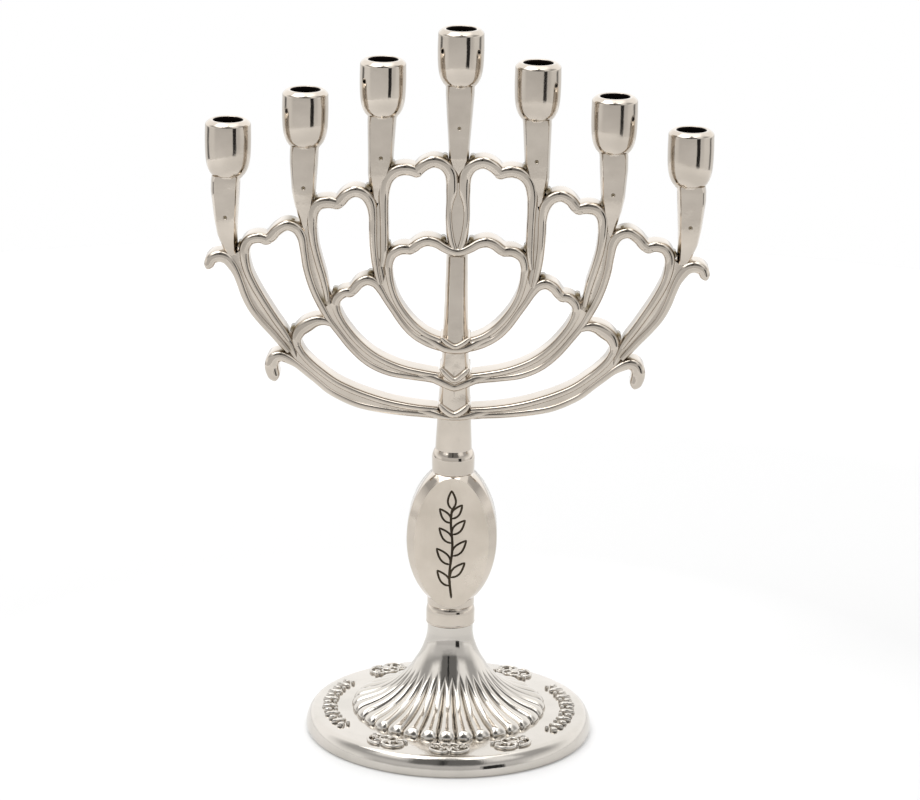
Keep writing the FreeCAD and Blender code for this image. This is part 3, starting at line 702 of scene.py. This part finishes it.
def rib_curves():
    """Matching (radius, z) rows of a rib's crest and of the valley beside it."""
    crest = spline(CREST, step=0.55)
    slope = np.gradient(crest, axis=0)
    slope /= np.linalg.norm(slope, axis=1)[:, None]
    inward = np.stack([slope[:, 1], -slope[:, 0]], axis=1)
    radius = crest[:, 0]
    grow = np.clip((radius - 12.0) / 5.0, 0, 1)
    grow = grow * grow * (3 - 2 * grow)
    deep = grow * (0.083 * radius + 0.05)
    valley = crest + inward * deep[:, None]
    toe = np.clip((radius - 27.5) / (CREST[-1][0] - 27.5), 0, 1)
    valley[:, 0] = np.minimum(valley[:, 0], VALLEY_REACH)
    valley[:, 1] = np.maximum(valley[:, 1] * (1 - toe) + 7.42 * toe, FLANGE_TOP)
    return list(crest), list(valley)


def foot():
    """Hollow round foot: neck, ribbed dome, flange and rim, in one closed surface."""
    crest, valley = rib_curves()
    per_rib = 18
    segments = RIBS * per_rib
    steep = math.radians(74)
    weights, angles = [], []
    for j in range(segments):
        rib, part = divmod(j, per_rib)
        phi = (part / per_rib - 0.5) * 2 * steep
        across = math.sin(phi) / math.sin(steep)
        weights.append((math.cos(phi) - math.cos(steep)) / (1 - math.cos(steep)))
        angles.append((rib + 0.5 * across) * TAU / RIBS - math.pi / 2)
    rows = [[(ROD_BORE, NECK_TOP)] * segments, [(NECK_RADIUS, NECK_TOP)] * segments]
    for c, v in zip(crest, valley):
        full = 0.85 - 0.4 * np.clip((c[0] - 27.0) / 5.0, 0, 1)
        rows.append([v + (c - v) * w**full for w in weights])
    rows += [[point] * segments for point in PLAIN]
    verts, faces = [], []
    for row in rows:
        verts += [(r * math.cos(a), r * math.sin(a), z) for (r, z), a in zip(row, angles)]
    count = len(rows)
    for i in range(count):
        for j in range(segments):
            k, low = (j + 1) % segments, (i + 1) % count
            quad = (i * segments + j, i * segments + k, low * segments + k, low * segments + j)
            faces.append(quad[::-1])
    obj = new_mesh("foot_ribbed", verts, faces)
    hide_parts("foot")
    return smooth(obj, 35)


def flange_z(radius):
    """Height of the flange's top, which falls slightly outward."""
    return np.interp(radius, (33.3, 39.0, 44.6), (FLANGE_TOP, 7.25, 7.05))


def flange_axes(angle):
    """Sideways and outward directions on the flange, at an angle in degrees from its front."""
    turn = math.radians(angle) - math.pi / 2
    side = np.array((-math.sin(turn), math.cos(turn)))
    out = np.array((math.cos(turn), math.sin(turn)))
    return side, out


def raised(radius, angle, outline, height):
    """A closed raised shape on the flange; outline is (sideways, outward) round (radius, angle)."""
    side, out = flange_axes(angle)
    outline = np.asarray(outline, float)
    middle = outline.mean(axis=0)
    base = flange_z(radius)
    rings = []
    for shrink, z in ((1.06, -0.3), (1.0, height * 0.45), (0.9, height * 0.8), (0.66, height)):
        ring = []
        for u, v in middle + (outline - middle) * shrink:
            x, y = out * (radius + v) + side * u
            ring.append((x, y, base + z))
        rings.append(ring)
    return skin(rings)


def leaf_shape(length, width, tilt=0.0, at=(0.0, 0.0)):
    """The outline of a leaf as (sideways, outward) points, turned by tilt degrees."""
    along = np.array((math.sin(math.radians(tilt)), math.cos(math.radians(tilt))))
    across = np.array((along[1], -along[0]))
    points = []
    for a in np.linspace(0, TAU, 16, endpoint=False):
        t, u = -math.cos(a), math.sin(a)
        points.append(np.array(at) + along * length / 2 * t + across * width / 2 * u * (1 - 0.35 * t))
    return points


def scroll(radius, angle, points, half, height):
    """A raised round line on the flange along (sideways, outward) points."""
    side, out = flange_axes(angle)
    route = spline(points, step=0.35)
    along = np.gradient(route, axis=0)
    along /= np.linalg.norm(along, axis=1)[:, None]
    rings = []
    for i, ((u, v), (du, dv)) in enumerate(zip(route, along)):
        thick = half * (0.5, 0.85, 1.0)[min(i, len(route) - 1 - i, 2)]
        ring = []
        for a in np.linspace(0, TAU, 10, endpoint=False):
            off = thick * math.cos(a)
            x, y = out * (radius + v + off * du) + side * (u - off * dv)
            ring.append((x, y, flange_z(radius) + height * (0.5 + 0.5 * math.sin(a)) - 0.25))
        rings.append(ring)
    return skin(rings)


SPRAY_ANGLES = (-30, 1.5, 33, 147, 180, 213)
SPRAY_RADIUS = 39.6
SPRAY_LEAVES = [  # (sideways, outward) place, length, width and tilt
    ((0, 1.2), 4.6, 2.3, 0), ((-2.3, 1.7), 3.0, 1.2, -42), ((2.3, 1.7), 3.0, 1.2, 42),
    ((0, -2.5), 2.2, 1.6, 0), ((-4.9, -0.1), 1.5, 1.4, 0), ((4.9, -0.1), 1.5, 1.4, 0),
    ((-6.1, -2.3), 1.5, 1.3, 0), ((6.1, -2.3), 1.5, 1.3, 0),
]  # fmt: skip
VOLUTES = [  # right half of a spray as (sideways, outward) runs with their half thickness
    ([(0.5, 3.3), (2.0, 3.9), (4.0, 3.5), (5.9, 1.9), (6.3, -0.1), (5.2, -1.3), (3.9, -0.7),
      (4.2, 0.5)], 0.5),
    ([(0.4, -3.4), (1.8, -3.2), (2.9, -1.9), (2.6, -0.3), (1.4, 0.4), (0.9, -0.5)], 0.45),
    ([(2.9, -2.3), (4.2, -2.9), (5.4, -2.5)], 0.42),
]  # fmt: skip
SPRAY_HEIGHT, VOLUTE_HEIGHT, BORDER_HEIGHT = 1.1, 1.25, 1.15
BORDER_LEAVES, BORDER_PITCH = 13, 5.0  # how many stand on each side, and degrees from one to the next


def foot_relief():
    """Raised border of the foot: scrolled sprays in front and behind, upright leaves at the sides."""
    parts = []
    for angle in SPRAY_ANGLES:
        for at, length, width, tilt in SPRAY_LEAVES:
            leaf = leaf_shape(length, width, tilt, at)
            parts.append(raised(SPRAY_RADIUS, angle, leaf, SPRAY_HEIGHT))
        for run, half in VOLUTES:
            for flip in (1, -1):
                line = [(flip * u, v) for u, v in run]
                parts.append(scroll(SPRAY_RADIUS, angle, line, half, VOLUTE_HEIGHT))
    for side in (90, -90):
        for i in range(BORDER_LEAVES):
            angle = side + (i - BORDER_LEAVES // 2) * BORDER_PITCH
            if i % 2:
                parts.append(raised(40.0, angle, leaf_shape(5.2, 1.6), BORDER_HEIGHT))
            else:
                parts.append(raised(40.9, angle, leaf_shape(2.8, 1.6), BORDER_HEIGHT))
                parts.append(raised(38.3, angle, leaf_shape(1.4, 1.4), BORDER_HEIGHT))
    verts, faces = [], []
    for part_verts, part_faces in parts:
        faces += [tuple(v + len(verts) for v in f) for f in part_faces]
        verts += list(part_verts)
    return smooth(new_mesh("foot_relief", verts, faces), 50)


# ------------------------------------------------------------------ materials
TARNISH = (0.15, 0.115, 0.06)


def node_tools(name):
    """A new material with its Principled shader, ready to be wired."""
    material = bpy.data.materials.new(name)
    material.use_nodes = True
    nodes, links = material.node_tree.nodes, material.node_tree.links
    nodes.clear()
    output = nodes.new("ShaderNodeOutputMaterial")
    shader = nodes.new("ShaderNodeBsdfPrincipled")
    links.new(shader.outputs["BSDF"], output.inputs["Surface"])
    return material, nodes, links, shader


def plated(name, color, dark, rough=(0.05, 0.14), bump=0.02, streak=0.03, wave=0.2, tarnish=False):
    """Polished plate: clouding in colour and gloss, hand polishing streaks and a gentle unevenness."""
    material, nodes, links, shader = node_tools(name)
    coords = nodes.new("ShaderNodeTexCoord")

    def noise(scale, detail, stretch=None):
        texture = nodes.new("ShaderNodeTexNoise")
        texture.inputs["Scale"].default_value = scale
        texture.inputs["Detail"].default_value = detail
        source = coords.outputs["Object"]
        if stretch:
            mapping = nodes.new("ShaderNodeMapping")
            mapping.inputs["Scale"].default_value = stretch
            links.new(source, mapping.inputs["Vector"])
            source = mapping.outputs["Vector"]
        links.new(source, texture.inputs["Vector"])
        return texture.outputs["Fac"]

    def blend(factor, low, high):
        mix = nodes.new("ShaderNodeMix")
        mix.data_type = "RGBA"
        links.new(factor, mix.inputs["Factor"])
        for socket, value in ((mix.inputs[6], low), (mix.inputs[7], high)):
            if isinstance(value, tuple):
                socket.default_value = (*value, 1)
            else:
                links.new(value, socket)
        return mix.outputs[2]

    def ranged(value, low, high, to_low, to_high):
        node = nodes.new("ShaderNodeMapRange")
        for socket, number in zip(node.inputs[1:5], (low, high, to_low, to_high)):
            socket.default_value = number
        links.new(value, node.inputs["Value"])
        return node.outputs["Result"]

    cloud = noise(75.0, 6.0)
    base = blend(ranged(cloud, 0.35, 0.68, 0.0, 1.0), color, dark)
    if tarnish:
        painted = nodes.new("ShaderNodeAttribute")
        painted.attribute_name = "tarnish"
        base = blend(painted.outputs["Fac"], base, TARNISH)
    links.new(base, shader.inputs["Base Color"])
    links.new(ranged(cloud, 0.35, 0.7, *rough), shader.inputs["Roughness"])
    normal = None
    for strength, distance, height in (
        (wave, 0.0005, noise(150.0, 1.0)),
        (streak, 0.0004, noise(1500.0, 3.0, (1.0, 1.0, 0.06))),
        (bump, 0.0004, noise(900.0, 3.0)),
    ):
        uneven = nodes.new("ShaderNodeBump")
        uneven.inputs["Strength"].default_value = strength
        uneven.inputs["Distance"].default_value = distance
        links.new(height, uneven.inputs["Height"])
        if normal:
            links.new(normal, uneven.inputs["Normal"])
        normal = uneven.outputs["Normal"]
    links.new(normal, shader.inputs["Normal"])
    shader.inputs["Metallic"].default_value = 1.0
    return material


NICKEL = plated("polished_nickel", (0.62, 0.56, 0.49), (0.54, 0.485, 0.42), tarnish=True)
FOOT_PLATE = plated("polished_foot", (0.61, 0.575, 0.53), (0.55, 0.52, 0.475), wave=0.12)
SATIN = plated("satin_nickel", (0.71, 0.64, 0.555), (0.61, 0.545, 0.465), (0.24, 0.38), 0.12, 0.22)
PATINA = plated("engraved_patina", (0.12, 0.095, 0.06), (0.07, 0.055, 0.04), (0.5, 0.7))
# painted shade: a near-black colour on the inside of the cup bores, standing in for the shade down the
# bore
BORE_SHADE = plated("bore_painted_shade", (0.022, 0.016, 0.014), (0.012, 0.01, 0.009), (0.4, 0.6))
STEEL = plated("zinc_steel", (0.52, 0.52, 0.53), (0.42, 0.42, 0.42), (0.25, 0.4))


def finish(obj, slot, *materials):
    """Gives a piece its materials and its body; the slot is not used."""
    obj.data.materials.clear()
    for material in materials:
        obj.data.materials.append(material)
    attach(obj, "root")
    return obj


CORNER_REACH = 1.9  # how far from its corner the tarnish fades
RECESS_Y = 3.9  # the polished crests stand farther than this from the middle plane


def paint_tarnish(obj):
    """A point attribute that is strong in the recessed corners between strands and in the dimples."""
    points = np.array([v.co for v in obj.data.vertices]) / MM
    amount = np.zeros(len(points))
    for x, z in CORNERS:
        for side in (-1, 1):
            gap = np.hypot(points[:, 0] - side * x, points[:, 2] - z)
            amount = np.maximum(amount, np.exp(-((gap / CORNER_REACH) ** 2)))
    amount[np.abs(points[:, 1]) > RECESS_Y] *= 0.15
    for x, _, z in DIMPLES:
        for side in (-1, 1):
            gap = np.hypot(points[:, 0] - side * x, points[:, 2] - z)
            amount[(gap < 0.5) & (points[:, 1] < -3.5)] = 0.9
    layer = obj.data.attributes.new("tarnish", "FLOAT", "POINT")
    layer.data.foreach_set("value", amount.astype(np.float32))


casting = branch_frame()
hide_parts("branch_frame")
finish(casting, "frame_plate", NICKEL)
paint_tarnish(casting)
for cup_name in CUPS:
    cup = finish(candle_cup(cup_name), "cup_plate", NICKEL, BORE_SHADE)
    cup_low, cup_high = cad(cup_name)
    # faces lining the bore take the near-black painted shade
    for polygon in cup.data.polygons:
        x, y, z = np.array(polygon.center) / MM
        off_axis = math.hypot(x - (cup_low[0] + cup_high[0]) / 2, y)
        if off_axis < BORE_EDGE and z > cup_low[2] + BORE_FLOOR:
            polygon.material_index = 1
finish(upper_collar(), "collar_plate", NICKEL)
finish(lower_collar(), "collar_plate", NICKEL)
finish(foot(), "foot_plate", FOOT_PLATE)
finish(foot_relief(), "foot_plate", FOOT_PLATE)

knop = finish(medallion(), "medallion_satin", NICKEL, SATIN, PATINA)
for polygon in knop.data.polygons:
    x, y, z = np.array(polygon.center) / MM
    inside = (x / (FACE[0] - 0.02)) ** 2 + ((z - FACE[2]) / (FACE[1] - 0.02)) ** 2 < 1
    if inside and abs(y) > FACE_Y - 0.6:
        polygon.material_index = 1 if abs(y) > FACE_Y - 0.01 else 2

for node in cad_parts.values():
    if not node.hide_render:
        finish(node, "steel", STEEL)


# ------------------------------------------------------------------ stage, light and camera
FLOOR_GLOW = ((0.09, 0.18), (0.19, 0.03), (0.35, 0.05), (0.58, 0.22))  # (metres out, emission)


def floor():
    """A pale round floor that glows a little, by distance from the middle."""
    mesh = bpy.data.meshes.new("floor")
    count, radius = 96, 0.62
    verts = [
        (radius * math.cos(TAU * i / count), radius * math.sin(TAU * i / count) + 0.05, 0.0)
        for i in range(count)
    ]
    mesh.from_pydata(verts, [], [tuple(range(count))])
    obj = bpy.data.objects.new("floor", mesh)
    bpy.context.scene.collection.objects.link(obj)
    material, nodes, links, shader = node_tools("floor_paper")
    shader.inputs["Base Color"].default_value = (0.68, 0.68, 0.68, 1)
    shader.inputs["Roughness"].default_value = 0.6
    shader.inputs["Emission Color"].default_value = (1, 1, 1, 1)
    coords = nodes.new("ShaderNodeTexCoord")
    length = nodes.new("ShaderNodeVectorMath")
    length.operation = "LENGTH"
    links.new(coords.outputs["Object"], length.inputs[0])
    glow = nodes.new("ShaderNodeValToRGB")
    stops = glow.color_ramp.elements
    for spot, level in FLOOR_GLOW:
        stop = stops.new(spot)
        stop.color = (level, level, level, 1)
    stops.remove(stops[-1])
    stops.remove(stops[0])
    links.new(length.outputs["Value"], glow.inputs["Fac"])
    links.new(glow.outputs["Color"], shader.inputs["Emission Strength"])
    mesh.materials.append(material)


TENT_VALUE = 1.35  # brightness of the tent between its cards

# Cards of the studio tent as (azimuth, half width, elevation, half height, soft edge, value).
# Azimuth is in degrees from the camera's side, positive to the viewer's right.
CARDS = [
    (0, 180, -50, 50, 6, 0.93),
    (0, 180, 88, 26, 12, 2.0),
    (0, 66, -2, 14, 14, 0.72),
    (0, 105, 33, 22, 24, 0.55),
    (-54, 15, 46, 14, 12, 1.3),
    (52, 15, 44, 16, 12, 1.2),
    (0, 31, 41, 21, 6, 0.2),
    (38, 14, 67, 8, 5, 3.0),
    (-38, 15, 66, 9, 5, 3.2),
    (-3, 3, 38, 16, 2, 0.02),
    (0, 16, 73, 8, 5, 0.06),
    (37, 9, -4, 17, 2.5, 0.03),
    (-113, 9, -14, 9, 6, 0.2),
    (112, 8, -14, 9, 6, 0.25),
]


def studio_world():
    """White tent with a grey camera side and dark cards; the camera itself sees plain white."""
    world = bpy.data.worlds.new("studio")
    bpy.context.scene.world = world
    world.use_nodes = True
    nodes, links = world.node_tree.nodes, world.node_tree.links
    nodes.clear()

    def math_node(operation, *inputs, clamp=False):
        node = nodes.new("ShaderNodeMath")
        node.operation = operation
        node.use_clamp = clamp
        for socket, value in zip(node.inputs, inputs):
            if isinstance(value, (int, float)):
                socket.default_value = value
            else:
                links.new(value, socket)
        return node.outputs[0]

    coords = nodes.new("ShaderNodeTexCoord")
    parts = nodes.new("ShaderNodeSeparateXYZ")
    links.new(coords.outputs["Generated"], parts.inputs[0])
    x, y, z = parts.outputs
    degrees = 180 / math.pi
    front = math_node("MULTIPLY", y, -1.0)
    azimuth = math_node("MULTIPLY", math_node("ARCTAN2", x, front), degrees)
    elevation = math_node("MULTIPLY", math_node("ARCSINE", z), degrees)
    value = TENT_VALUE
    for card_azimuth, half_width, card_elevation, half_height, soft, shade in CARDS:
        masks = []
        spans = ((azimuth, card_azimuth, half_width), (elevation, card_elevation, half_height))
        for angle, centre, half in spans:
            off = math_node("ABSOLUTE", math_node("SUBTRACT", angle, float(centre)))
            edge = math_node("SUBTRACT", float(half), off)
            masks.append(math_node("ADD", math_node("DIVIDE", edge, float(soft)), 0.5, clamp=True))
        mask = math_node("MULTIPLY", *masks)
        kept = math_node("MULTIPLY", value, math_node("SUBTRACT", 1.0, mask))
        value = math_node("ADD", kept, math_node("MULTIPLY", mask, float(shade)))
    tent = nodes.new("ShaderNodeBackground")
    links.new(value, tent.inputs["Color"])
    tent.inputs["Strength"].default_value = 1.0
    plain = nodes.new("ShaderNodeBackground")
    plain.inputs["Color"].default_value = (1, 1, 1, 1)
    path = nodes.new("ShaderNodeLightPath")
    mix = nodes.new("ShaderNodeMixShader")
    links.new(path.outputs["Is Camera Ray"], mix.inputs["Fac"])
    links.new(tent.outputs[0], mix.inputs[1])
    links.new(plain.outputs[0], mix.inputs[2])
    output = nodes.new("ShaderNodeOutputWorld")
    links.new(mix.outputs[0], output.inputs["Surface"])


def lamp(name, location, target, size, power):
    """A square area light aimed at a point."""
    light = bpy.data.lights.new(name, "AREA")
    light.size = size
    light.energy = power
    obj = bpy.data.objects.new(name, light)
    obj.location = location
    obj.rotation_euler = (Vector(target) - Vector(location)).to_track_quat("-Z", "Y").to_euler()
    bpy.context.scene.collection.objects.link(obj)


# Camera: azimuth, elevation and roll in degrees; aim point, distance and lens in millimetres.
VIEW_AZIMUTH, VIEW_ELEVATION, VIEW_ROLL = 0.77, 16.46, 1.11
VIEW_TARGET, VIEW_DISTANCE, VIEW_LENS = (1.84, 0.0, 115.06), 1320.0, 156.52


def camera():
    azimuth, elevation = math.radians(VIEW_AZIMUTH), math.radians(VIEW_ELEVATION)
    level = math.cos(elevation)
    back = Vector((math.sin(azimuth) * level, -math.cos(azimuth) * level, math.sin(elevation)))
    data = bpy.data.cameras.new("camera")
    data.lens = VIEW_LENS
    data.sensor_width = 36.0
    data.clip_start, data.clip_end = 0.05, 20.0
    obj = bpy.data.objects.new("camera", data)
    roll = Matrix.Rotation(math.radians(VIEW_ROLL), 3, "Z")
    turn = (-back).to_track_quat("-Z", "Y").to_matrix() @ roll
    place = (Vector(VIEW_TARGET) + back * VIEW_DISTANCE) * MM
    obj.matrix_world = Matrix.Translation(place) @ turn.to_4x4()
    bpy.context.scene.collection.objects.link(obj)
    bpy.context.scene.camera = obj


floor()
studio_world()
lamp("soft_top", (-0.5, -0.2, 1.2), (0, 0, 0.1), 0.9, 4.0)
camera()
bpy.context.scene.view_settings.view_transform = "Standard"
